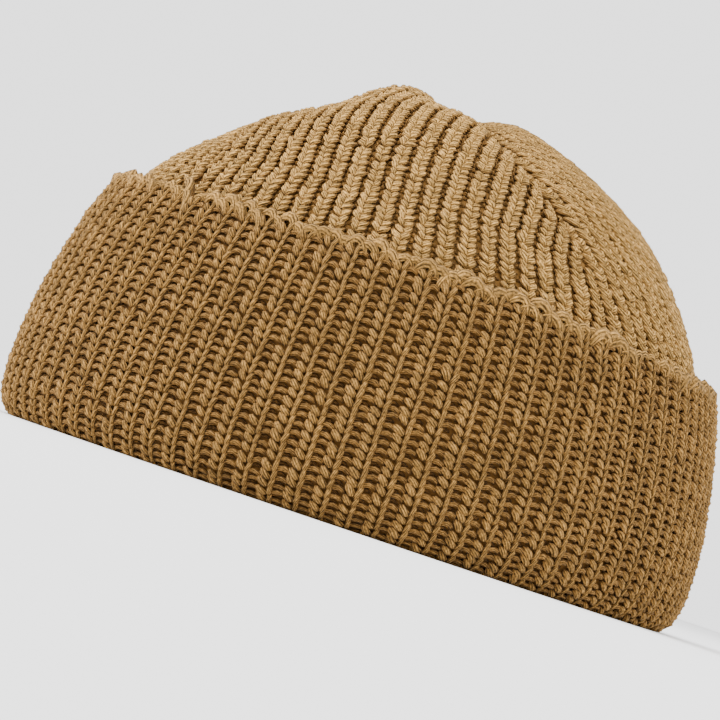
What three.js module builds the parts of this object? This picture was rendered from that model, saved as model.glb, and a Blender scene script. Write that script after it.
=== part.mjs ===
import * as THREE from 'three';

// A ribbed knit beanie with a turned-up cuff, in millimetres.
// It rests on its rim at z = 0, +Z is up and the front of the hat faces -Y.
// Turns are angles round the hat, from the front (-Y) towards the wearer's left (+X).

// Driving sizes
const rimRadius = 104; // outside of the cuff where it is widest
const hatHeight = 124; // rim to the top of the crown, without its humps
const cuffHeight = 69; // mean height of the turned-up cuff
const cuffTilt = 2; // the cuff stands this much higher on its high side, and lower opposite
const cuffHighTurn = -71; // degrees, the side where the cuff is highest
const cuffWall = 3.6; // thickness of the cuff's knit
const crownWall = 3.2; // thickness of the crown's knit
const foldGap = 1.6; // air between the crown and the cuff that lies on it
const pieceGap = 0.3; // clearance between the crown's lower edge and the lip below it
const lipHeight = 9; // height of the inner lip that the crown stands on
const floorRing = 4; // width of the flat ring that the fold rests on
const foldCorner = 3; // height of the rounding between the flat ring and the walls

// Knitting
const goreCount = 4;
const ribsPerGore = 22;
const ribDepth = 1.8; // from the bottom of a groove to the top of a rib
const dartRadius = 77; // the darts start where the crown has narrowed to this
const goreTurn = 12.3; // degrees, the middle of the front gore at the rim
const driftRadius = 85; // the gores turn back from where the crown has narrowed to this
const goreDrift = 40; // degrees that the gores turn back on their way from there to the top
const edgeScallop = 0.8; // each rib's arch rises this much above the cuff's edge
const edgeBead = 0.7; // the bound edge stands this far proud of the cuff

// Shape of the soft crown
const goreSwell = 2; // the middle of a gore bulges this far between its darts
const creaseWidth = 4; // reach of a dart's crease on each side
const creaseFade = 0.1; // share of the body curve over which a crease deepens

// The crown falls in along one flank, deep in mm, turn and spread in degrees.
// from, deepest, easing and until are shares of hatHeight.
const flank = { turn: -76, spread: 62, deep: 7, from: 0.6, deepest: 0.86, easing: 0.92, until: 1 };

// Outside of the crown wall from the rim to the top.
// rise is a share of hatHeight, reach is a share of the crown's radius at the rim.
const bodySections = [
  { rise: 0, reach: 0.972 },
  { rise: 0.09, reach: 1 },
  { rise: 0.23, reach: 0.994 },
  { rise: 0.36, reach: 0.967 },
  { rise: 0.5, reach: 0.922 },
  { rise: 0.607, reach: 0.862 },
  { rise: 0.73, reach: 0.76 },
  { rise: 0.845, reach: 0.608 },
  { rise: 0.933, reach: 0.4 },
  { rise: 0.98, reach: 0.25 },
  { rise: 0.996, reach: 0.15 },
  { rise: 0.98, reach: 0 },
];

// Depth in mm of the crease along each dart, or height of a ridge where it is below zero.
// turn is counted from the middle of the front gore.
const darts = [
  { turn: -45, crease: -1 },
  { turn: 45, crease: 2 },
  { turn: 135, crease: 1.2 },
  { turn: 225, crease: 1.4 },
];

// Humps and hollows of the gathered top, rise in mm. away and spread are shares of the crown's radius.
const humps = [
  { turn: -66, away: 0.21, spread: 0.14, rise: 4.6 },
  { turn: 0, away: 0.13, spread: 0.15, rise: -3.4 },
  { turn: 64, away: 0.17, spread: 0.12, rise: 1.4 },
  { turn: 185, away: 0.18, spread: 0.13, rise: 1 },
];

// Slow waves of the soft wall round the hat, swing in mm.
const wallWaves = [
  { waves: 2, swing: 1.2, turn: 20 },
  { waves: 4, swing: 0.6, turn: 35 },
  { waves: 6, swing: 0.4, turn: 10 },
];

// Rows of the mesh. Cuff rows are shares of the cuff's height, crown rows are shares of the
// way from the lip to the dart start, and dart rows are shares of the way up each rib from there.
const cuffRows = [0.09, 0.19, 0.38, 0.6, 0.8, 0.95];
const crownRowsOutside = [0, 0.34, 0.6, 0.72, 0.86, 1];
const crownRowsInside = [0, 0.34, 0.64, 1];
const dartRowsOutside = [0, 0.21, 0.41, 0.59, 0.74, 0.87, 1];
const dartRowsInside = [0, 0.3, 0.62, 1];

const radians = THREE.MathUtils.degToRad;
const columnsPerGore = 2 * ribsPerGore;
const columnCount = goreCount * columnsPerGore;
const goreAngle = (2 * Math.PI) / goreCount;
const crownRadius = rimRadius - cuffWall - foldGap;

const bodyCurve = new THREE.SplineCurve(
  bodySections.map((row) => new THREE.Vector2(row.reach * crownRadius, row.rise * hatHeight)),
);
bodyCurve.arcLengthDivisions = 600;

// Finds the share of the curve's length where test() turns from false to true.
function shareWhere(test) {
  const steps = 40;
  let low = 0;
  let high = 1;
  for (let step = 0; step < steps; step += 1) {
    const middle = (low + high) / 2;
    if (test(bodyCurve.getPointAt(middle))) high = middle;
    else low = middle;
  }
  return high;
}

const widestSection = bodySections.reduce((widest, row) => (row.reach > widest.reach ? row : widest));
const shareAtHeight = (height) => shareWhere((point) => point.y >= height);
const shareAtRadius = (radius) =>
  shareWhere((point) => point.x <= radius && point.y > widestSection.rise * hatHeight);

const dartShare = shareAtRadius(dartRadius);
const swellShare = (1 + dartShare) / 2;
const lipShare = shareAtHeight(lipHeight + pieceGap);

// Smallest signed difference between two angles.
function angleBetween(angle, other) {
  return Math.atan2(Math.sin(angle - other), Math.cos(angle - other));
}

const smooth = (value, low, high) => THREE.MathUtils.smoothstep(value, low, high);

// Turn of the gores where the crown has one radius.
function goreTurnAt(radius) {
  return radians(goreTurn - goreDrift * Math.max(0, 1 - radius / driftRadius));
}

// How far the soft wall stands out or in at one place, in mm along its normal.
function wallSwing(angle, share, radius) {
  const calm = smooth(radius, 0, crownRadius);
  let swing = 0;
  for (const wave of wallWaves) {
    swing += wave.swing * calm * Math.cos(wave.waves * (angle - radians(wave.turn)));
  }
  const belowTop = 1 - smooth(share, swellShare, 1);
  const knitAngle = angle - goreTurnAt(radius);
  const fromCentre = angleBetween(knitAngle * goreCount, 0) / goreCount;
  const swell = goreSwell * Math.cos((fromCentre * Math.PI) / goreAngle);
  swing += swell * smooth(share, dartShare, swellShare) * belowTop;
  const height = bodyCurve.getPointAt(share).y / hatHeight;
  const offFlank = Math.abs(angleBetween(angle, radians(flank.turn))) / radians(flank.spread);
  const flankEase = 1 - smooth(height, flank.easing, flank.until);
  const flankBand = smooth(height, flank.from, flank.deepest) * flankEase;
  swing -= flank.deep * flankBand * (1 - smooth(offFlank, 0, 1));
  for (const dart of darts) {
    const aside = (Math.abs(angleBetween(knitAngle, radians(dart.turn))) * radius) / creaseWidth;
    const crease = dart.crease * Math.exp(-aside * aside);
    swing -= crease * smooth(share, dartShare, dartShare + creaseFade) * belowTop;
  }
  for (const hump of humps) {
    const turned = angle - radians(hump.turn);
    const along = radius * Math.cos(turned) - hump.away * crownRadius;
    const aside = radius * Math.sin(turned);
    swing += hump.rise * Math.exp(-(along * along + aside * aside) / (hump.spread * crownRadius) ** 2);
  }
  return swing;
}

// A point of the knit: angle round the hat, share of the body curve, distance outside the crown's face.
function knitPoint(angle, share, outward) {
  const point = bodyCurve.getPointAt(share);
  const tangent = share < 1 ? bodyCurve.getTangentAt(share) : new THREE.Vector2(-1, 0);
  const offset = outward + wallSwing(angle, share, point.x);
  const radius = share < 1 ? point.x + offset * tangent.y : 0;
  const height = point.y - offset * tangent.x;
  return new THREE.Vector3(radius * Math.sin(angle), -radius * Math.cos(angle), height);
}

// Odd columns run along the ribs, even columns along the grooves between them.
const ribOffset = (column) => (column % 2 === 1 ? ribDepth / 2 : -ribDepth / 2);

// Collects triangles by named vertices, so that shared vertices are shared exactly.
class Skin {
  constructor() {
    this.indexByName = new Map();
    this.positions = [];
    this.faces = [];
  }

  vertex(name, makePoint) {
    if (!this.indexByName.has(name)) {
      this.indexByName.set(name, this.indexByName.size);
      this.positions.push(...makePoint().toArray());
    }
    return this.indexByName.get(name);
  }

  triangle(first, second, third) {
    if (first !== second && second !== third && third !== first) this.faces.push(first, second, third);
  }

  // Corners run counter-clockwise as seen from outside the material.
  quad(lowerLeft, lowerRight, upperRight, upperLeft) {
    this.triangle(lowerLeft, lowerRight, upperRight);
    this.triangle(lowerLeft, upperRight, upperLeft);
  }

  mesh(name, material) {
    const geometry = new THREE.BufferGeometry();
    geometry.setAttribute('position', new THREE.Float32BufferAttribute(this.positions, 3));
    geometry.setIndex(this.faces);
    geometry.computeVertexNormals();
    const result = new THREE.Mesh(geometry, material);
    result.name = name;
    return result;
  }
}

// One face of the crown wall, as a grid of gores, columns and rows.
// Each rib runs straight up its gore and ends at a dart; the middle column reaches the top.
function addCrownFace(skin, face) {
  const { label, outward, lowerRows, upperRows, inward } = face;
  const goreEdge = columnsPerGore / 2;
  const lastRow = lowerRows.length + upperRows.length - 2;

  function vertexAt(gore, column, row) {
    const across = (column - goreEdge) / goreEdge;
    const centre = gore * goreAngle;
    const ringColumn = (gore * columnsPerGore + column) % columnCount;
    const dartRow = row - (lowerRows.length - 1);
    if (dartRow <= 0 || Math.abs(across) === 1) {
      const ringRow = Math.min(row, lowerRows.length - 1);
      const share = THREE.MathUtils.lerp(lipShare, dartShare, lowerRows[ringRow]);
      const angle = centre + (across * goreAngle) / 2 + goreTurnAt(bodyCurve.getPointAt(share).x);
      return skin.vertex(`${label} ring ${ringColumn} ${ringRow}`, () =>
        knitPoint(angle, share, outward + ribOffset(column)),
      );
    }
    const endShare = across === 0 ? 1 : shareAtRadius(Math.abs(across) * dartRadius);
    if (row === lastRow) {
      if (across === 0) return skin.vertex(`${label} top`, () => knitPoint(centre, 1, outward));
      const dart = (gore + (across > 0 ? 1 : 0)) % goreCount;
      const turned = goreTurnAt(Math.abs(across) * dartRadius);
      const dartAngle = centre + (Math.sign(across) * goreAngle) / 2 + turned;
      return skin.vertex(`${label} dart ${dart} ${Math.abs(column - goreEdge)}`, () =>
        knitPoint(dartAngle, endShare, outward - ribDepth / 2),
      );
    }
    const share = THREE.MathUtils.lerp(dartShare, endShare, upperRows[dartRow]);
    const radius = bodyCurve.getPointAt(share).x;
    const angle = centre + (((across * goreAngle) / 2) * dartRadius) / radius;
    return skin.vertex(`${label} gore ${gore} ${column} ${row}`, () =>
      knitPoint(angle + goreTurnAt(radius), share, outward + ribOffset(column)),
    );
  }

  for (let gore = 0; gore < goreCount; gore += 1) {
    for (let column = 0; column < columnsPerGore; column += 1) {
      for (let row = 0; row < lastRow; row += 1) {
        const corners = [
          vertexAt(gore, column, row),
          vertexAt(gore, column + 1, row),
          vertexAt(gore, column + 1, row + 1),
          vertexAt(gore, column, row + 1),
        ];
        if (inward) corners.reverse();
        skin.quad(...corners);
      }
    }
  }
}

function makeCrown(material) {
  const skin = new Skin();
  addCrownFace(skin, {
    label: 'outside',
    outward: 0,
    lowerRows: crownRowsOutside,
    upperRows: dartRowsOutside,
    inward: false,
  });
  addCrownFace(skin, {
    label: 'inside',
    outward: -crownWall,
    lowerRows: crownRowsInside,
    upperRows: dartRowsInside,
    inward: true,
  });
  for (let column = 0; column < columnCount; column += 1) {
    const next = (column + 1) % columnCount;
    const named = (label, ring) => skin.vertex(`${label} ring ${ring} 0`);
    const inner = [named('inside', column), named('inside', next)];
    skin.quad(...inner, named('outside', next), named('outside', column));
  }
  return skin.mesh('crown', material);
}

// Height of the cuff's free edge in one direction.
function cuffTop(angle) {
  return cuffHeight + cuffTilt * Math.cos(angle - radians(cuffHighTurn));
}

// The cuff's section in one direction, anticlockwise from the floor ring's outer end.
function cuffSection(angle, column) {
  const rib = ribOffset(column);
  const onRib = rib > 0;
  const facing = foldGap + cuffWall;
  const at = (height, outward) => knitPoint(angle, shareAtHeight(height), outward + rib);
  const onFloor = (outward) => {
    const point = at(0, outward);
    point.z = 0;
    return point;
  };
  const top = cuffTop(angle) - (onRib ? 0 : edgeScallop);
  const ringMiddle = (facing - crownWall) / 2;
  return [
    onFloor(ringMiddle + floorRing / 2),
    at(foldCorner, facing - foldCorner / 2),
    ...cuffRows.map((row) => at(row * cuffTop(angle), facing)),
    at(top - edgeBead, facing + edgeBead),
    at(top, facing - cuffWall / 2),
    at(top - edgeBead, foldGap),
    at(cuffRows[3] * cuffTop(angle), foldGap),
    at(lipHeight, foldGap),
    at(cuffWall, foldGap / 2),
    at(lipHeight, 0),
    at(lipHeight, -crownWall),
    at(foldCorner, foldCorner / 2 - crownWall),
    onFloor(ringMiddle - floorRing / 2),
  ];
}

function makeCuff(material) {
  const skin = new Skin();
  const sections = [];
  for (let column = 0; column < columnCount; column += 1) {
    sections.push(cuffSection(((column - ribsPerGore) * 2 * Math.PI) / columnCount, column));
  }
  const rowCount = sections[0].length;
  const named = (column, row) => {
    const ring = column % columnCount;
    const step = row % rowCount;
    return skin.vertex(`${ring} ${step}`, () => sections[ring][step]);
  };
  for (let column = 0; column < columnCount; column += 1) {
    for (let row = 0; row < rowCount; row += 1) {
      const lower = [named(column, row), named(column + 1, row)];
      skin.quad(...lower, named(column + 1, row + 1), named(column, row + 1));
    }
  }
  return skin.mesh('cuff', material);
}

const knitMaterial = (name, colour) =>
  new THREE.MeshStandardMaterial({ name, color: new THREE.Color(colour), roughness: 0.95, metalness: 0 });

const group = new THREE.Group();
group.name = 'beanie';
group.add(makeCrown(knitMaterial('crown_knit', '#a38056')));
group.add(makeCuff(knitMaterial('cuff_knit', '#84613a')));

export default group;
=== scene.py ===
import math

import bpy
import numpy as np
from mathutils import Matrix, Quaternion, Vector


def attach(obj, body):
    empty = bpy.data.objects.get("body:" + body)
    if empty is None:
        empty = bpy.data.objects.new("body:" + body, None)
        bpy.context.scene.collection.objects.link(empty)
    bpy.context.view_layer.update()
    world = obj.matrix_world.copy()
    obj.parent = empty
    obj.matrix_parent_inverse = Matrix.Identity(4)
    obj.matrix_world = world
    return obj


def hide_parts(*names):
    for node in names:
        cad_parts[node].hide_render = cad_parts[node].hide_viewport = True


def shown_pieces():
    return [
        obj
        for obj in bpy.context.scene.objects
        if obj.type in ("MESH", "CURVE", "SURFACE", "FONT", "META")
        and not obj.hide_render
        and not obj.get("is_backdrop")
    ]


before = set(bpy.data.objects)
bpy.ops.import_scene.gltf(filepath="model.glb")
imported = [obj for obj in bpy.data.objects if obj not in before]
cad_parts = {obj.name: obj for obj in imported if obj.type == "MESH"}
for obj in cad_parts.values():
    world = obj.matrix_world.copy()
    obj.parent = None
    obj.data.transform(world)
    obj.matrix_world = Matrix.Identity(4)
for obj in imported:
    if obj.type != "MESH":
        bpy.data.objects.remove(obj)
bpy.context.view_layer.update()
print("frame loaded")

mm = 0.001  # every length below is in millimetres until it reaches a mesh
chance = np.random.default_rng(7)

# The soft body, with the sizes of the solids; turns are degrees from the front towards +X
body = {
    "rimRadius": 104.0,
    "hatHeight": 124.0,
    "cuffHeight": 69.0,
    "cuffTilt": 2.0,
    "cuffHighTurn": -71.0,
    "cuffWall": 3.6,
    "crownWall": 3.2,
    "foldGap": 1.6,
    "gores": 4,
    "ribsPerGore": 22,
    "dartRadius": 77.0,
    "goreSwell": 2.0,
    "goreTurn": 12.3,  # the middle of the front gore at the rim
    "driftRadius": 85.0,  # the gores turn back from where the crown has narrowed to this
    "goreDrift": 40.0,  # how far they turn back on their way from there to the top
    "creaseWidth": 4.0,
    "creaseFade": 0.1,
}
# rise is a share of the height, reach a share of the crown's radius at the rim
bodySections = [
    {"rise": 0.0, "reach": 0.972},
    {"rise": 0.09, "reach": 1.0},
    {"rise": 0.23, "reach": 0.994},
    {"rise": 0.36, "reach": 0.967},
    {"rise": 0.5, "reach": 0.922},
    {"rise": 0.607, "reach": 0.862},
    {"rise": 0.73, "reach": 0.76},
    {"rise": 0.845, "reach": 0.608},
    {"rise": 0.933, "reach": 0.4},
    {"rise": 0.98, "reach": 0.25},
    {"rise": 0.996, "reach": 0.15},
    {"rise": 0.98, "reach": 0.0},
]
# turn is counted from the middle of the front gore; a crease below zero is a ridge
darts = [
    {"turn": -45, "crease": -1.0},
    {"turn": 45, "crease": 2.0},
    {"turn": 135, "crease": 1.2},
    {"turn": 225, "crease": 1.4},
]
# Front, right, back and left gore. cut is how far the darts cut its ribs away, the rest being gathered;
# turning is how far its ribs follow the gore as it turns back, the rest running straight on, which
# leaves room at its left for more of them
goreRuns = [
    {"cut": 1.0, "turning": 0.35, "more": 2},
    {"cut": 0.35, "turning": 1.0, "more": 0},
    {"cut": 1.0, "turning": 0.35, "more": 2},
    {"cut": 0.35, "turning": 1.0, "more": 0},
]
# humps and hollows of the gathered top; away and spread are shares of the crown's radius
humps = [
    {"turn": -66, "away": 0.21, "spread": 0.16, "rise": 3.9},
    {"turn": 0, "away": 0.13, "spread": 0.15, "rise": -3.0},
    {"turn": 64, "away": 0.17, "spread": 0.12, "rise": 1.2},
    {"turn": 185, "away": 0.18, "spread": 0.13, "rise": 1.0},
]
wallWaves = [
    {"waves": 2, "swing": 1.2, "turn": 20},
    {"waves": 4, "swing": 0.6, "turn": 35},
    {"waves": 6, "swing": 0.4, "turn": 10},
]
flank = {"turn": -76, "spread": 62, "deep": 5.2, "from": 0.6, "deepest": 0.86, "easing": 0.92, "until": 1.0}

ribCount = body["gores"] * body["ribsPerGore"]
goreAngle = 2 * math.pi / body["gores"]
crownRadius = body["rimRadius"] - body["cuffWall"] - body["foldGap"]
cuffFace = body["foldGap"] + body["cuffWall"]  # the cuff's outside stands this far outside the crown's
foldRadius = (cuffFace + body["crownWall"]) / 2
foldMiddle = (cuffFace - body["crownWall"]) / 2
foldQuarter = foldRadius * math.pi / 2


def smooth(value, low, high):
    share = np.clip((value - low) / (high - low), 0, 1)
    return share * share * (3 - 2 * share)


def throughKnots(knots, pieces):
    # a smooth line through the knots, with the same number of pieces between each pair
    knots = np.array(knots, float)
    padded = np.vstack([knots[:1], knots, knots[-1:]])
    share = np.linspace(0, 1, pieces, endpoint=False)[:, None]
    parts = []
    for index in range(len(knots) - 1):
        before, start, end, after = padded[index:index + 4]
        leave, arrive = (end - before) / 2, (after - start) / 2
        cubic = 2 * (start - end) + leave + arrive
        square = 3 * (end - start) - 2 * leave - arrive
        parts.append(((cubic * share + square) * share + leave) * share + start)
    return np.vstack(parts + [knots[-1:]])


def lengthsAlong(line):
    steps = np.linalg.norm(np.diff(line, axis=0), axis=1)
    return np.concatenate([[0.0], np.cumsum(steps)])


bodyLine = throughKnots(
    [(row["reach"] * crownRadius, row["rise"] * body["hatHeight"]) for row in bodySections], 50)
bodyLength = lengthsAlong(bodyLine)
bodySlope = np.gradient(bodyLine, bodyLength, axis=0)
bodySlope /= np.linalg.norm(bodySlope, axis=1)[:, None]
bodySlope[-1] = (-1, 0)
widest = int(np.argmax(bodyLine[:, 0]))
highest = int(np.argmax(bodyLine[:, 1]))
topLength = bodyLength[-1]


def radiusAt(along):
    return np.interp(along, bodyLength, bodyLine[:, 0])


def alongAtHeight(height):
    return np.interp(height, bodyLine[:highest, 1], bodyLength[:highest])


def alongAtRadius(radius):
    return np.interp(radius, bodyLine[widest:, 0][::-1], bodyLength[widest:][::-1])


dartAlong = float(alongAtRadius(body["dartRadius"]))
swellAlong = (topLength + dartAlong) / 2


def turnBetween(angle, other):
    return np.arctan2(np.sin(angle - other), np.cos(angle - other))


def goreTurnAt(radius):
    return np.radians(body["goreTurn"] - body["goreDrift"] * np.maximum(0, 1 - radius / body["driftRadius"]))


def wallSwing(angle, along, radius):
    # how far the soft wall stands out or in at a place
    swing = 0 * angle
    calm = smooth(radius, 0, crownRadius)
    for wave in wallWaves:
        swing = swing + wave["swing"] * calm * np.cos(wave["waves"] * (angle - math.radians(wave["turn"])))
    belowTop = 1 - smooth(along, swellAlong, topLength)
    knitAngle = angle - goreTurnAt(radius)
    fromCentre = turnBetween(knitAngle * body["gores"], 0) / body["gores"]
    swell = body["goreSwell"] * np.cos(fromCentre * math.pi / goreAngle)
    swing = swing + swell * smooth(along, dartAlong, swellAlong) * belowTop
    height = np.interp(along, bodyLength, bodyLine[:, 1]) / body["hatHeight"]
    offFlank = np.abs(turnBetween(angle, math.radians(flank["turn"]))) / math.radians(flank["spread"])
    sinking = smooth(height, flank["from"], flank["deepest"])
    stillSunk = 1 - smooth(height, flank["easing"], flank["until"])
    swing = swing - flank["deep"] * (sinking * stillSunk) * (1 - smooth(offFlank, 0, 1))
    for dart in darts:
        aside = np.abs(turnBetween(knitAngle, math.radians(dart["turn"]))) * radius / body["creaseWidth"]
        crease = dart["crease"] * np.exp(-aside * aside)
        deepening = smooth(along, dartAlong, dartAlong + body["creaseFade"] * topLength)
        swing = swing - crease * deepening * belowTop
    for hump in humps:
        turned = angle - math.radians(hump["turn"])
        ahead = radius * np.cos(turned) - hump["away"] * crownRadius
        aside = radius * np.sin(turned)
        spread = hump["spread"] * crownRadius
        swing = swing + hump["rise"] * np.exp(-(ahead ** 2 + aside ** 2) / spread ** 2)
    return swing


def bodyPoint(angle, along, outward, upright=1.0):
    # upright eases the lean of the wall's normal, so that the fold stays on the floor
    radius = radiusAt(along)
    height = np.interp(along, bodyLength, bodyLine[:, 1])
    slopeOut = np.interp(along, bodyLength, bodySlope[:, 0])
    slopeUp = np.interp(along, bodyLength, bodySlope[:, 1])
    offset = outward + wallSwing(angle, along, radius)
    reach = radius + offset * slopeUp
    lifted = height - offset * slopeOut * upright
    return np.stack([reach * np.sin(angle), -reach * np.cos(angle), lifted], axis=-1)


def cuffTop(angle):
    return body["cuffHeight"] + body["cuffTilt"] * np.cos(angle - math.radians(body["cuffHighTurn"]))


def wrapCuff(ribs, up, outward):
    # ribs counted round the hat from the front, up in mm from the underside of the fold
    angle = ribs / ribCount * 2 * math.pi
    bend = np.clip(up / foldRadius, -math.pi / 2, math.pi / 2)
    facing = foldMiddle + (foldRadius + outward) * np.sin(bend)
    height = foldRadius - (foldRadius + outward) * np.cos(bend) + np.maximum(np.abs(up) - foldQuarter, 0)
    return bodyPoint(angle, alongAtHeight(height), facing, smooth(height, 0, 3 * foldRadius))


def cuffReach(ribs):
    # length up the outside from the fold's underside to the free edge
    return foldQuarter + cuffTop(ribs / ribCount * 2 * math.pi) - foldRadius


def goreShare(gore, ribs, along):
    # place across the gore, -1 and 1 at its darts, for ribs counted from the gore's middle
    radius = np.maximum(radiusAt(along), 1e-6)
    narrowing = np.where(along > dartAlong, body["dartRadius"] / radius, 1.0) ** goreRuns[gore]["cut"]
    turnedBack = math.radians(body["goreTurn"]) - goreTurnAt(radius)
    straightOn = (1 - goreRuns[gore]["turning"]) * turnedBack / (goreAngle / 2)
    return ribs / (body["ribsPerGore"] / 2) * narrowing + straightOn


def seamDistance(gore, ribs, along):
    # distance to the edge of the gore, below zero outside it
    return (1 - np.abs(goreShare(gore, ribs, along))) * radiusAt(along) * goreAngle / 2


def wrapGore(gore, ribs, along, outward):
    # a rib runs up its gore and ends at a dart or is gathered into the top
    share = np.clip(goreShare(gore, ribs, along), -1, 1)
    return bodyPoint(gore * goreAngle + share * goreAngle / 2 + goreTurnAt(radiusAt(along)), along, outward)


def clearSelection():
    if bpy.context.object and bpy.context.object.mode != "OBJECT":
        bpy.ops.object.mode_set(mode="OBJECT")
    bpy.ops.object.select_all(action="DESELECT")


def choose(thing):
    clearSelection()
    thing.select_set(True)
    bpy.context.view_layer.objects.active = thing


def readPoints(thing):
    flat = np.empty(len(thing.data.vertices) * 3)
    thing.data.vertices.foreach_get("co", flat)
    return flat.reshape(-1, 3)


def writePoints(thing, points):
    thing.data.vertices.foreach_set("co", np.ascontiguousarray(points, dtype=float).ravel())
    thing.data.update()


def writeShade(thing, name, values):
    layer = thing.data.attributes.new(name, "FLOAT", "POINT")
    layer.data.foreach_set("value", np.ascontiguousarray(values, dtype=float))


endTaper = 0.35  # how much thinner a strand is at its ends


def yarnTube(strand, sides):
    # a grid rolled into a tube along the strand's line; its UV map runs along and round it
    clearSelection()
    bpy.ops.mesh.primitive_grid_add(x_subdivisions=strand["pieces"], y_subdivisions=sides, size=1)
    tube = bpy.context.object
    flat = readPoints(tube)
    line = throughKnots(strand["knots"], 12)
    reach = lengthsAlong(line) / lengthsAlong(line)[-1]
    share, turned = flat[:, 0] + 0.5, (flat[:, 1] + 0.5) * 2 * math.pi
    centre = np.stack([np.interp(share, reach, line[:, axis]) for axis in range(3)], axis=-1)
    tangents = np.gradient(line, reach, axis=0)
    tangent = np.stack([np.interp(share, reach, tangents[:, axis]) for axis in range(3)], axis=-1)
    tangent /= np.linalg.norm(tangent, axis=1)[:, None]
    side = np.cross(tangent, np.cross([0.0, 0.0, 1.0], tangent))
    side /= np.linalg.norm(side, axis=1)[:, None]
    across = np.cross(side, tangent)
    spoke = side * np.cos(turned)[:, None] + across * np.sin(turned)[:, None]
    radius = strand["thick"] / 2 * (1 - endTaper * np.abs(2 * share - 1) ** 4)[:, None]
    writePoints(tube, centre + spoke * radius)
    bpy.ops.object.mode_set(mode="EDIT")
    bpy.ops.mesh.select_all(action="SELECT")
    bpy.ops.mesh.remove_doubles(threshold=1e-4)
    bpy.ops.object.mode_set(mode="OBJECT")
    return tube


def modelStitch(strands, sides):
    # the strands of one stitch, joined
    tubes = [yarnTube(strand, sides) for strand in strands]
    clearSelection()
    for tube in tubes:
        tube.select_set(True)
    bpy.context.view_layer.objects.active = tubes[0]
    if len(tubes) > 1:
        bpy.ops.object.join()
    return bpy.context.object


def arrayOf(thing, count, offset):
    choose(thing)
    rows = thing.modifiers.new("rows", "ARRAY")
    rows.count = count
    rows.use_relative_offset = False
    rows.use_constant_offset = True
    rows.constant_offset_displace = offset
    bpy.ops.object.modifier_apply(modifier=rows.name)


def knitField(name, knit, ribs, rows):
    # one stitch, repeated up its rib and then across the ribs, still flat
    stitch = modelStitch(knit["strands"], knit["sides"])
    stitch.name = name
    stitch.data.name = name
    size = len(stitch.data.vertices)
    arrayOf(stitch, rows, (0, knit["rowPitch"], 0))
    arrayOf(stitch, ribs, (knit["ribPitch"], 0, 0))
    return stitch, size


def keepStitches(thing, size, kept):
    # deletes every stitch that kept says no to
    if kept.all():
        return
    choose(thing)
    drop = np.repeat(~kept, size)
    bpy.ops.object.mode_set(mode="EDIT")
    bpy.ops.mesh.select_all(action="DESELECT")
    bpy.ops.object.mode_set(mode="OBJECT")
    thing.data.vertices.foreach_set("select", drop)
    bpy.ops.object.mode_set(mode="EDIT")
    bpy.ops.mesh.delete(type="VERT")
    bpy.ops.object.mode_set(mode="OBJECT")


def wander(first, second, turns):
    # a smooth unevenness between -1 and 1 over two directions
    return (np.sin(first * 0.9 + 1.7 * np.sin(second * 0.31 + turns)) * 0.5
            + np.sin(second * 0.67 + turns * 2.3 + 1.3 * np.sin(first * 0.53)) * 0.5)


slack = {"lean": 1.2, "fuller": 0.6, "aside": 2.0, "upward": 2.5}  # shares of a knit's looseness


def loosen(points, size, knit):
    # each stitch sits a little off its place, leans and is a little fuller or thinner
    count = len(points) // size
    amount = knit["loose"]
    middle = points.reshape(count, size, 3).mean(axis=1).repeat(size, axis=0)
    lean = np.repeat(chance.normal(0, amount * slack["lean"], count), size)
    fuller = np.repeat(chance.normal(0, amount * slack["fuller"], count), size)
    offset = points - middle
    loose = points + np.repeat(chance.normal(0, amount, (count, 3)), size, axis=0) + offset * fuller[:, None]
    loose[:, 0] -= lean * offset[:, 1]
    loose[:, 1] += lean * offset[:, 0]
    column, row = points[:, 0] / knit["ribPitch"], points[:, 1] / knit["rowPitch"]
    loose[:, 0] += amount * slack["aside"] * wander(column * 0.8, row * 0.35, 0.4)
    loose[:, 1] += amount * slack["upward"] * wander(row * 0.4, column * 0.5, 2.1)
    return loose


def paintedShadeOf(deep, knit):
    # painted shade: 0 in the gaps of a knit, where the most shade is painted, 1 on its crests, which get none
    return np.clip((deep - knit["gapDepth"]) / knit["paintedShadeSpan"], 0, 1)


def finishYarn(thing, points, paintedShade, size, material, node):
    writePoints(thing, points * mm)
    # painted shade: how deep each point lies in the knit, which darkens its colour; tone is each stitch's own
    # random colour
    writeShade(thing, "paintedShade", paintedShade)
    writeShade(thing, "tone", np.repeat(chance.random(len(points) // size), size))
    choose(thing)
    bpy.ops.object.shade_smooth()
    thing.data.materials.clear()
    thing.data.materials.append(material)
    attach(thing, "root")
    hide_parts(node)


def nodeMaker(tree):
    def make(kind, place, values=None, **settings):
        node = tree.nodes.new(kind)
        node.location = place
        for key, value in settings.items():
            setattr(node, key, value)
        for socket, value in (values or {}).items():
            node.inputs[socket].default_value = value
        return node
    return make


fibres = {"stretch": 0.8, "slow": 1.5, "apart": 40.0, "scale": 3.0, "detail": 3.0, "from": 0.34, "to": 0.66}


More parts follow.
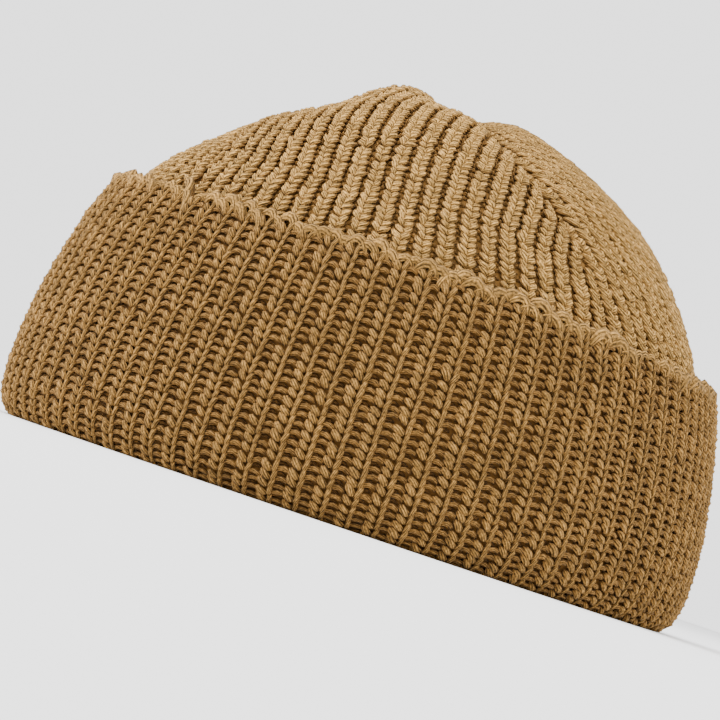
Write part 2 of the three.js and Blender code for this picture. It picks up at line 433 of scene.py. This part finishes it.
def yarnTwistGroup():
    # fine plies and loose fibres of the yarn, from the UV map that runs along and round each strand
    tree = bpy.data.node_groups.new("yarnTwist", "ShaderNodeTree")
    for label, default in (("Turns", 2.0), ("Plies", 2.0), ("Fibre", 0.4)):
        socket = tree.interface.new_socket(label, in_out="INPUT", socket_type="NodeSocketFloat")
        socket.default_value = default
    tree.interface.new_socket("Height", in_out="OUTPUT", socket_type="NodeSocketFloat")
    make = nodeMaker(tree)
    link = tree.links.new
    given, out = make("NodeGroupInput", (-900, 0)), make("NodeGroupOutput", (700, 0))
    yarnMap = make("ShaderNodeUVMap", (-900, 300), uv_map="UVMap")
    split = make("ShaderNodeSeparateXYZ", (-700, 300))
    link(yarnMap.outputs[0], split.inputs[0])
    tone = make("ShaderNodeAttribute", (-900, -250), attribute_name="tone")
    along = make("ShaderNodeMath", (-500, 300), operation="MULTIPLY")
    link(split.outputs[0], along.inputs[0])
    link(given.outputs["Turns"], along.inputs[1])
    around = make("ShaderNodeMath", (-500, 120), operation="MULTIPLY")
    link(split.outputs[1], around.inputs[0])
    link(given.outputs["Plies"], around.inputs[1])
    phase = make("ShaderNodeMath", (-320, 220), operation="ADD")
    link(along.outputs[0], phase.inputs[0])
    link(around.outputs[0], phase.inputs[1])
    circle = make("ShaderNodeMath", (-150, 220), {1: 2 * math.pi}, operation="MULTIPLY")
    link(phase.outputs[0], circle.inputs[0])
    wave = make("ShaderNodeMath", (20, 220), operation="SINE")
    link(circle.outputs[0], wave.inputs[0])
    lift = make("ShaderNodeMath", (180, 220), {1: 0.5, 2: 0.5}, operation="MULTIPLY_ADD")
    link(wave.outputs[0], lift.inputs[0])
    place = make("ShaderNodeCombineXYZ", (-300, -80))
    stretch = make("ShaderNodeMath", (-480, -60), {1: fibres["stretch"]}, operation="MULTIPLY")
    link(phase.outputs[0], stretch.inputs[0])
    slow = make("ShaderNodeMath", (-480, -220), {1: fibres["slow"]}, operation="MULTIPLY")
    link(split.outputs[0], slow.inputs[0])
    link(stretch.outputs[0], place.inputs[0])
    link(slow.outputs[0], place.inputs[1])
    spread = make("ShaderNodeMath", (-480, -380), {1: fibres["apart"]}, operation="MULTIPLY")
    link(tone.outputs["Fac"], spread.inputs[0])
    link(spread.outputs[0], place.inputs[2])
    fibre = make("ShaderNodeTexNoise", (-120, -80), {"Scale": fibres["scale"], "Detail": fibres["detail"]})
    link(place.outputs[0], fibre.inputs["Vector"])
    harder = make("ShaderNodeMapRange", (120, -80), {"From Min": fibres["from"], "From Max": fibres["to"]})
    link(fibre.outputs["Fac"], harder.inputs["Value"])
    blend = make("ShaderNodeMix", (380, 120), data_type="FLOAT")
    link(given.outputs["Fibre"], blend.inputs[0])
    link(lift.outputs[0], blend.inputs[2])
    link(harder.outputs["Result"], blend.inputs[3])
    link(blend.outputs[0], out.inputs["Height"])
    return tree


yarnTwist = yarnTwistGroup()


def yarnMaterial(name, looks):
    material = bpy.data.materials.new(name)
    material.use_nodes = True
    tree = material.node_tree
    make = nodeMaker(tree)
    link = tree.links.new
    shader = tree.nodes["Principled BSDF"]
    shader.inputs["Roughness"].default_value = looks["roughness"]
    shader.inputs["Specular IOR Level"].default_value = looks["specular"]
    shader.inputs["Sheen Weight"].default_value = looks["sheen"]
    shader.inputs["Sheen Roughness"].default_value = looks["sheenRoughness"]
    shader.inputs["Sheen Tint"].default_value = looks["sheenTint"]
    twist = make("ShaderNodeGroup", (-700, 0), node_tree=yarnTwist)
    twist.inputs["Turns"].default_value = looks["turns"]
    twist.inputs["Plies"].default_value = looks["plies"]
    twist.inputs["Fibre"].default_value = looks["fibre"]
    # painted shade: the colour ramp darkens the yarn where it lies deep in the knit, in the gaps and under
    # other strands
    paintedShade = make("ShaderNodeAttribute", (-900, 300), attribute_name="paintedShade")
    ramp = make("ShaderNodeValToRGB", (-600, 300))
    stops = ramp.color_ramp.elements
    stops[0].position, stops[0].color = looks["paintedShades"][0]
    stops[1].position, stops[1].color = looks["paintedShades"][-1]
    for position, colour in looks["paintedShades"][1:-1]:
        stops.new(position).color = colour
    link(paintedShade.outputs["Fac"], ramp.inputs[0])
    tone = make("ShaderNodeAttribute", (-900, 520), attribute_name="tone")
    toneSpan = make("ShaderNodeMapRange", (-700, 520))
    toneSpan.inputs["To Min"].default_value = 1 - looks["toneSpread"]
    toneSpan.inputs["To Max"].default_value = 1 + looks["toneSpread"]
    link(tone.outputs["Fac"], toneSpan.inputs["Value"])
    # partly painted shade and highlight: the ply wave darkens the colour in the grooves between plies and
    # lightens it on their crests; the fibre noise mixed into it is the yarn's own tone
    plySpan = make("ShaderNodeMapRange", (-500, 80))
    plySpan.inputs["From Min"].default_value = looks["plyFrom"]
    plySpan.inputs["From Max"].default_value = looks["plyTo"]
    plySpan.inputs["To Min"].default_value = looks["plyDark"]
    plySpan.inputs["To Max"].default_value = looks["plyLight"]
    link(twist.outputs["Height"], plySpan.inputs["Value"])
    both = make("ShaderNodeMath", (-300, 300), operation="MULTIPLY")
    link(toneSpan.outputs["Result"], both.inputs[0])
    link(plySpan.outputs["Result"], both.inputs[1])
    place = make("ShaderNodeTexCoord", (-900, -350))
    fuzz = make("ShaderNodeTexNoise", (-700, -350), {
        "Scale": looks["fuzzScale"], "Detail": looks["fuzzDetail"]})
    link(place.outputs["Object"], fuzz.inputs["Vector"])
    fuzzSpan = make("ShaderNodeMapRange", (-500, -350), {
        "From Min": looks["fuzzFrom"], "From Max": looks["fuzzTo"],
        "To Min": 1 - looks["fuzz"], "To Max": 1 + looks["fuzz"]})
    link(fuzz.outputs["Fac"], fuzzSpan.inputs["Value"])
    fuzzed = make("ShaderNodeMath", (-200, 420), operation="MULTIPLY")
    link(both.outputs[0], fuzzed.inputs[0])
    link(fuzzSpan.outputs["Result"], fuzzed.inputs[1])
    scaled = make("ShaderNodeVectorMath", (-150, 300), operation="SCALE")
    link(ramp.outputs["Color"], scaled.inputs[0])
    link(fuzzed.outputs[0], scaled.inputs["Scale"])
    link(scaled.outputs[0], shader.inputs["Base Color"])
    bump = make("ShaderNodeBump", (-300, -150))
    bump.inputs["Strength"].default_value = looks["bump"]
    bump.inputs["Distance"].default_value = looks["bumpHeight"] * mm
    rough = make("ShaderNodeMath", (-420, -180), operation="ADD")
    link(twist.outputs["Height"], rough.inputs[0])
    link(fuzz.outputs["Fac"], rough.inputs[1])
    link(rough.outputs[0], bump.inputs["Height"])
    link(bump.outputs[0], shader.inputs["Normal"])
    return material


knitLooks = {
    "roughness": 0.9,
    "specular": 0.12,
    "sheen": 0.06,
    "sheenRoughness": 0.4,
    "sheenTint": (1.0, 0.8, 0.5, 1.0),
    "turns": 1.2,
    "plies": 7.0,
    "fibre": 0.5,
    "toneSpread": 0.16,
    "plyFrom": 0.15,
    "plyTo": 0.85,
    # colour across the ply wave: painted shade in the ply grooves and painted highlight on the ply crests,
    # mixed with the fibres' own tone
    "plyDark": 0.2,
    "plyLight": 1.5,
    "bump": 1.0,
    "bumpHeight": 0.3,
    "fuzz": 0.35,
    "fuzzScale": 1700.0,
    "fuzzDetail": 3.0,
    "fuzzFrom": 0.36,
    "fuzzTo": 0.64,
    # painted shade: yarn colours from the gaps of the knit (0) to its crests (1)
    "paintedShades": [
        (0.0, (0.075, 0.029, 0.005, 1)),
        (0.35, (0.120, 0.053, 0.011, 1)),
        (0.65, (0.190, 0.094, 0.023, 1)),
        (1.0, (0.265, 0.144, 0.038, 1)),
    ],
}
# painted light: the crown's yarn is the same yarn, coloured lighter because more light falls on the upturned
# top
crownYarnPaintedLit = yarnMaterial("crownYarnPaintedLit", dict(knitLooks, paintedShades=[
    (0.0, (0.115, 0.050, 0.010, 1)),
    (0.35, (0.175, 0.082, 0.018, 1)),
    (0.65, (0.285, 0.150, 0.040, 1)),
    (1.0, (0.415, 0.240, 0.068, 1)),
]))
cuffYarn = yarnMaterial("cuffYarn", knitLooks)
insideYarn = yarnMaterial("insideYarn", dict(knitLooks, sheen=0.03, plies=3.0))


backingLooks = {"roughness": 0.95, "specular": 0.1, "scale": 700.0, "detail": 3.0}


def paintedShadeBacking(name, dark, light):
    # the knit seen between the strands, coloured darker than the yarn as painted shade
    material = bpy.data.materials.new(name)
    material.use_nodes = True
    make = nodeMaker(material.node_tree)
    link = material.node_tree.links.new
    shader = material.node_tree.nodes["Principled BSDF"]
    shader.inputs["Roughness"].default_value = backingLooks["roughness"]
    shader.inputs["Specular IOR Level"].default_value = backingLooks["specular"]
    place = make("ShaderNodeTexCoord", (-700, 0))
    noise = make("ShaderNodeTexNoise", (-500, 0))
    noise.inputs["Scale"].default_value = backingLooks["scale"]
    noise.inputs["Detail"].default_value = backingLooks["detail"]
    link(place.outputs["Object"], noise.inputs["Vector"])
    ramp = make("ShaderNodeValToRGB", (-300, 0))
    ramp.color_ramp.elements[0].color = dark
    ramp.color_ramp.elements[1].color = light
    link(noise.outputs["Fac"], ramp.inputs[0])
    link(ramp.outputs["Color"], shader.inputs["Base Color"])
    return material


# painted shade: the backing is coloured darker than the yarn; the crown's is lighter than the cuff's as
# painted light on the upturned top
cuffBackingPaintedShade = paintedShadeBacking("cuffBackingPaintedShade", (0.07, 0.028, 0.006, 1), (0.19, 0.09, 0.022, 1))
crownBackingPaintedShade = paintedShadeBacking("crownBackingPaintedShade", (0.11, 0.048, 0.01, 1), (0.3, 0.155, 0.042, 1))

# Cuff: each repeat is a rib of one chunky and one thin leg, and a ladder of bars beside it
cuffKnit = {
    "ribPitch": 7.4,
    "rowPitch": 2.36,
    "sides": 5,
    "lipReach": 12.0,  # the same knit runs on round the fold and this far up inside
    "loose": 0.08,
    # painted shade: strongest in the gaps at this level, gone over this span above it
    "gapDepth": -1.8,
    "paintedShadeSpan": 3.0,
    "strands": [
        {"thick": 1.95, "pieces": 4, "knots": [
            (-2.75, 1.9, -1.0), (-2.3, 1.55, 0.0), (-1.6, 1.05, 0.4), (-0.95, 0.55, 0.25),
            (-0.6, 0.15, -0.8)]},
        {"thick": 1.35, "pieces": 3, "knots": [
            (0.45, -0.5, -0.8), (0.6, 0.5, 0.3), (0.8, 1.4, 0.5), (1.0, 2.3, 0.3), (1.05, 3.1, -0.8)]},
        {"thick": 1.4, "pieces": 4, "knots": [
            (0.8, 0.4, -1.2), (1.6, 0.9, -0.4), (2.9, 1.2, -0.2), (4.2, 0.9, -0.4), (5.0, 0.4, -1.2)]},
        {"thick": 1.1, "pieces": 2, "knots": [
            (1.0, -0.3, -0.8), (1.9, 0.0, -1.1), (2.9, -0.4, -1.4), (3.8, -0.6, -1.6)]},
    ],
}


def knitCuff():
    knit = cuffKnit
    rowPitch, ribPitch = knit["rowPitch"], knit["ribPitch"]
    upRows = int(round(float(cuffReach(0)) / rowPitch))
    lipRows = int(round(knit["lipReach"] / rowPitch))
    pieces = 4
    for quarter in range(pieces):
        ribs = ribCount // pieces
        field, size = knitField(f"cuff_knit_{quarter + 1}", knit, ribs, upRows + lipRows)
        flat = readPoints(field)
        flat[:, 1] -= lipRows * rowPitch
        loose = loosen(flat, size, knit)
        column = loose[:, 0] / ribPitch + quarter * ribs
        up = loose[:, 1]
        stretch = (cuffReach(column) - foldQuarter) / (upRows * rowPitch - foldQuarter)
        up = np.where(up > foldQuarter, foldQuarter + (up - foldQuarter) * stretch, up)
        placed = wrapCuff(column, up, loose[:, 2])
        finishYarn(field, placed, paintedShadeOf(flat[:, 2], knit), size, cuffYarn, "cuff")


knitCuff()
print("cuff knitted")

# Free edge of the cuff: two leaning loops over each rib make a rope, with one more loop behind them
cuffEdge = {
    "ribPitch": cuffKnit["ribPitch"],
    "rowPitch": cuffKnit["rowPitch"],
    "sides": 5,
    "loose": 0.22,
    # painted shade: strongest in the gaps at this level, gone over this span above it
    "gapDepth": -2.6,
    "paintedShadeSpan": 2.8,
    # the painted shade on the edge goes no lower than this share, so the loop behind stays light enough
    "paintedShadeLimit": 0.4,
    "strands": [
        {"thick": 2.3, "pieces": 6, "knots": [
            (-3.9, -1.1, -0.9), (-2.6, 0.35, 0.1), (-0.6, 1.05, 0.35), (1.4, 0.45, 0.1), (2.9, -0.9, -0.9)]},
        {"thick": 2.2, "pieces": 6, "knots": [
            (-0.2, -1.1, -1.0), (1.1, 0.2, 0.0), (3.1, 0.75, 0.2), (5.1, 0.1, -0.1), (6.6, -1.1, -1.0)]},
        {"thick": 1.9, "pieces": 5, "knots": [
            (-3.6, -1.0, -2.6), (-1.8, 0.4, -1.7), (0.6, 0.9, -1.4), (2.4, 0.3, -1.8), (4.0, -0.8, -3.2)]},
    ],
}


def bindEdge():
    edge = cuffEdge
    field, size = knitField("cuff_edge", edge, ribCount, 1)
    loose = loosen(readPoints(field), size, edge)
    column = loose[:, 0] / edge["ribPitch"]
    # painted shade, kept within the edge's limit
    paintedShade = np.maximum(paintedShadeOf(loose[:, 2], edge), edge["paintedShadeLimit"])
    placed = wrapCuff(column, cuffReach(column) + loose[:, 1], loose[:, 2])
    finishYarn(field, placed, paintedShade, size, cuffYarn, "cuff")


bindEdge()
print("cuff edge bound")

# Crown: columns of small V stitches with narrow dark grooves, ending at the darts
crownKnit = {
    "ribPitch": body["dartRadius"] * 2 * math.pi / ribCount,
    "rowPitch": 2.08,
    "sides": 5,
    "side": 1,  # seen from outside
    "from": 60.0,  # height where the stitches start, just below the cuff's edge
    "loose": 0.12,
    # painted shade: strongest in the gaps at this level, gone over this span above it
    "gapDepth": -1.7,
    "paintedShadeSpan": 3.0,
    "flattest": 0.6,  # gathered stitches are no flatter than this share
    "seamSink": 0.6,
    "seamReach": 1.2,
    "seamRoom": -0.9,  # stitches whose middle is nearer than this to a dart are left out
    "strands": [
        {"thick": 1.75, "pieces": 8, "knots": [
            (-1.35, 2.6, -1.2), (-1.75, 1.95, -0.15), (-1.35, 1.2, 0.35), (-0.6, 0.5, 0.5), (0.0, 0.05, -0.3),
            (0.6, 0.5, 0.5), (1.35, 1.2, 0.35), (1.75, 1.95, -0.15), (1.35, 2.6, -1.2)]},
        {"thick": 1.4, "pieces": 2, "knots": [
            (1.8, 0.2, -1.5), (2.75, 0.8, -0.8), (3.7, 0.3, -1.5)]},
    ],
}


topRoom = 0.5  # the stitches stop this short of the very top


def knitGore(name, knit, gore):
    # the stitches of one gore, kept clear of its darts; returns their place along and across the gore
    more = goreRuns[gore]["more"]
    ribs = body["ribsPerGore"] + more
    start = float(alongAtHeight(knit["from"]))
    rows = int((topLength - start) / knit["rowPitch"])
    field, size = knitField(f"{name}_{gore + 1}", knit, ribs, rows)
    centreRib = np.repeat((np.arange(ribs) + 0.5 - ribs / 2) * knit["side"] - more / 2, rows)
    centreRow = np.tile((np.arange(rows) + 1) * knit["rowPitch"] + start, ribs)
    keepStitches(field, size, seamDistance(gore, centreRib, centreRow) > knit["seamRoom"])
    flat = readPoints(field)
    loose = loosen(flat, size, knit)
    column = (loose[:, 0] / knit["ribPitch"] + 0.5 - ribs / 2) * knit["side"] - more / 2
    along = np.minimum(loose[:, 1] + start, topLength - topRoom)
    gathered = np.minimum(radiusAt(along) / body["dartRadius"], 1) ** (1 - goreRuns[gore]["cut"])
    return field, size, column, along, flat[:, 2], loose[:, 2] * np.maximum(gathered, knit["flattest"])


def knitCrown():
    for gore in range(body["gores"]):
        field, size, column, along, deep, outward = knitGore("crown_gore", crownKnit, gore)
        offSeam = np.maximum(seamDistance(gore, column, along), 0) / crownKnit["seamReach"]
        sink = crownKnit["seamSink"] * np.exp(-offSeam ** 2)
        placed = wrapGore(gore, column, along, outward - sink)
        # painted shade, deeper along the darts where the stitches sink
        finishYarn(field, placed, paintedShadeOf(deep - sink, crownKnit), size, crownYarnPaintedLit, "crown")


knitCrown()
print("crown knitted")

# Inside of the crown: ribs and ladders again, coarser, facing the hollow
insideKnit = {
    "ribPitch": crownKnit["ribPitch"],
    "rowPitch": 3.2,
    "sides": 3,
    "side": -1,  # seen from inside
    "from": 9.0,
    "loose": 0.08,
    # painted shade: strongest in the gaps at this level, gone over this span above it
    "gapDepth": -1.3,
    "paintedShadeSpan": 1.9,
    "flattest": 0.6,
    "seamRoom": 1.2,
    "strands": [
        {"thick": 1.8, "pieces": 5, "knots": [
            (-1.6, 3.7, -0.9), (-1.4, 2.5, 0.0), (-0.7, 1.0, 0.35), (0.0, 0.2, -0.2),
            (0.7, 1.0, 0.35), (1.4, 2.5, 0.0), (1.6, 3.7, -0.9)]},
        {"thick": 1.5, "pieces": 2, "knots": [
            (1.4, 0.6, -0.9), (2.2, 1.1, -0.35), (3.2, 1.1, -0.35), (4.0, 0.6, -0.9)]},
    ],
}


def knitInside():
    for gore in range(body["gores"]):
        field, size, column, along, deep, outward = knitGore("crown_inside", insideKnit, gore)
        placed = wrapGore(gore, column, along, -body["crownWall"] - outward)
        finishYarn(field, placed, paintedShadeOf(deep, insideKnit), size, insideYarn, "crown")


knitInside()
print("inside knitted")

# Backing cloth behind the strands, one closed wall for each of crown and cuff, coloured darker as painted
# shade
backingWall = {"columns": 88, "crownRows": 30, "cuffRows": 26, "crownBack": 1.2, "cuffBack": 1.5, "thin": 0.8}


def rolledWall(name, rows, shape, node, material):
    # a flat grid rolled round the hat, closed at its side and given a thickness
    clearSelection()
    bpy.ops.mesh.primitive_grid_add(x_subdivisions=backingWall["columns"], y_subdivisions=rows, size=1)
    wall = bpy.context.object
    wall.name = name
    wall.data.name = name
    flat = readPoints(wall)
    writePoints(wall, shape((flat[:, 0] + 0.5) * ribCount, flat[:, 1] + 0.5) * mm)
    bpy.ops.object.mode_set(mode="EDIT")
    bpy.ops.mesh.select_all(action="SELECT")
    bpy.ops.mesh.remove_doubles(threshold=1e-6)
    bpy.ops.mesh.normals_make_consistent(inside=False)
    bpy.ops.object.mode_set(mode="OBJECT")
    solid = wall.modifiers.new("wall", "SOLIDIFY")
    solid.thickness = backingWall["thin"] * mm
    solid.offset = -1
    choose(wall)
    bpy.ops.object.modifier_apply(modifier=solid.name)
    bpy.ops.object.shade_smooth()
    wall.data.materials.append(material)
    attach(wall, "root")
    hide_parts(node)


def crownShape(ribs, share):
    start = float(alongAtHeight(insideKnit["from"]))
    along = start + share * (topLength - start)
    return bodyPoint(ribs / ribCount * 2 * math.pi, along, 0 * along - backingWall["crownBack"])


def cuffShape(ribs, share):
    up = -cuffKnit["lipReach"] + share * (cuffReach(ribs) + cuffKnit["lipReach"])
    return wrapCuff(ribs, up, 0 * up - backingWall["cuffBack"])


rolledWall("crown_backing", backingWall["crownRows"], crownShape, "crown", crownBackingPaintedShade)
rolledWall("cuff_backing", backingWall["cuffRows"], cuffShape, "cuff", cuffBackingPaintedShade)
print("backing made")

# Floor, light and camera
studio = {
    "floorSize": 30.0,
    "floorColour": (0.8, 0.8, 0.8, 1),
    "floorRoughness": 0.9,
    "floorSpecular": 0.1,
    "worldColour": (1.0, 1.0, 1.0, 1),
    "worldStrength": 2.3,
    "softboxes": [
        {"size": 1.4, "turn": -80, "lift": 25, "away": 2.2, "power": 66},
        {"size": 1.4, "turn": 82, "lift": 6, "away": 2.2, "power": 32},
        {"size": 1.6, "turn": -40, "lift": 70, "away": 2.2, "power": 44},
    ],
}
camera = {
    "turn": 19.0,
    "height": 6.0,  # just above the floor
    "away": 1000.0,
    "aimHeight": 55.0,
    "roll": 18.6,
    "lens": 172.0,
    "sensorWidth": 36.0,
    "nearest": 0.05,  # in metres, as is farthest
    "farthest": 100.0,
    "moveRight": 10.0,
    "moveUp": 4.7,
}


def makeStudio():
    clearSelection()
    bpy.ops.mesh.primitive_plane_add(size=studio["floorSize"])
    floor = bpy.context.object
    floor.name = "floor"
    paper = bpy.data.materials.new("studioPaper")
    paper.use_nodes = True
    shader = paper.node_tree.nodes["Principled BSDF"]
    shader.inputs["Base Color"].default_value = studio["floorColour"]
    shader.inputs["Roughness"].default_value = studio["floorRoughness"]
    shader.inputs["Specular IOR Level"].default_value = studio["floorSpecular"]
    floor.data.materials.append(paper)
    floor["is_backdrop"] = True
    world = bpy.data.worlds.new("studioWorld")
    bpy.context.scene.world = world
    world.use_nodes = True
    sky = world.node_tree.nodes["Background"]
    sky.inputs[0].default_value = studio["worldColour"]
    sky.inputs[1].default_value = studio["worldStrength"]
    target = Vector((0, 0, camera["aimHeight"] * mm))
    for box in studio["softboxes"]:
        turn, lift = math.radians(box["turn"] + camera["turn"]), math.radians(box["lift"])
        back = Vector((math.sin(turn) * math.cos(lift), -math.cos(turn) * math.cos(lift), math.sin(lift)))
        bpy.ops.object.light_add(type="AREA", location=target + back * box["away"])
        light = bpy.context.object
        light.rotation_euler = back.to_track_quat("Z", "Y").to_euler()
        light.data.shape = "SQUARE"
        light.data.size = box["size"]
        light.data.energy = box["power"]
        light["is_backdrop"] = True


def makeCamera():
    turn = math.radians(camera["turn"])
    target = Vector((0, 0, camera["aimHeight"] * mm))
    eye = target + Vector((math.sin(turn), -math.cos(turn), 0)) * camera["away"] * mm
    eye.z = camera["height"] * mm
    back = (eye - target).normalized()
    facing = back.to_track_quat("Z", "Y") @ Quaternion((0, 0, 1), math.radians(camera["roll"]))
    right, up = facing @ Vector((1, 0, 0)), facing @ Vector((0, 1, 0))
    aim = target - (right * camera["moveRight"] + up * camera["moveUp"]) * mm
    back = (eye - aim).normalized()
    facing = back.to_track_quat("Z", "Y") @ Quaternion((0, 0, 1), math.radians(camera["roll"]))
    bpy.ops.object.camera_add(location=eye)
    view = bpy.context.object
    view.rotation_mode = "QUATERNION"
    view.rotation_quaternion = facing
    view.data.lens = camera["lens"]
    view.data.sensor_width = camera["sensorWidth"]
    view.data.clip_start = camera["nearest"]
    view.data.clip_end = camera["farthest"]
    bpy.context.scene.camera = view


makeStudio()
makeCamera()
print("studio ready")

triangles = {piece.name: sum(len(face.vertices) - 2 for face in piece.data.polygons)
             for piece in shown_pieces() if piece.type == "MESH"}
print("triangles", sum(triangles.values()), triangles)
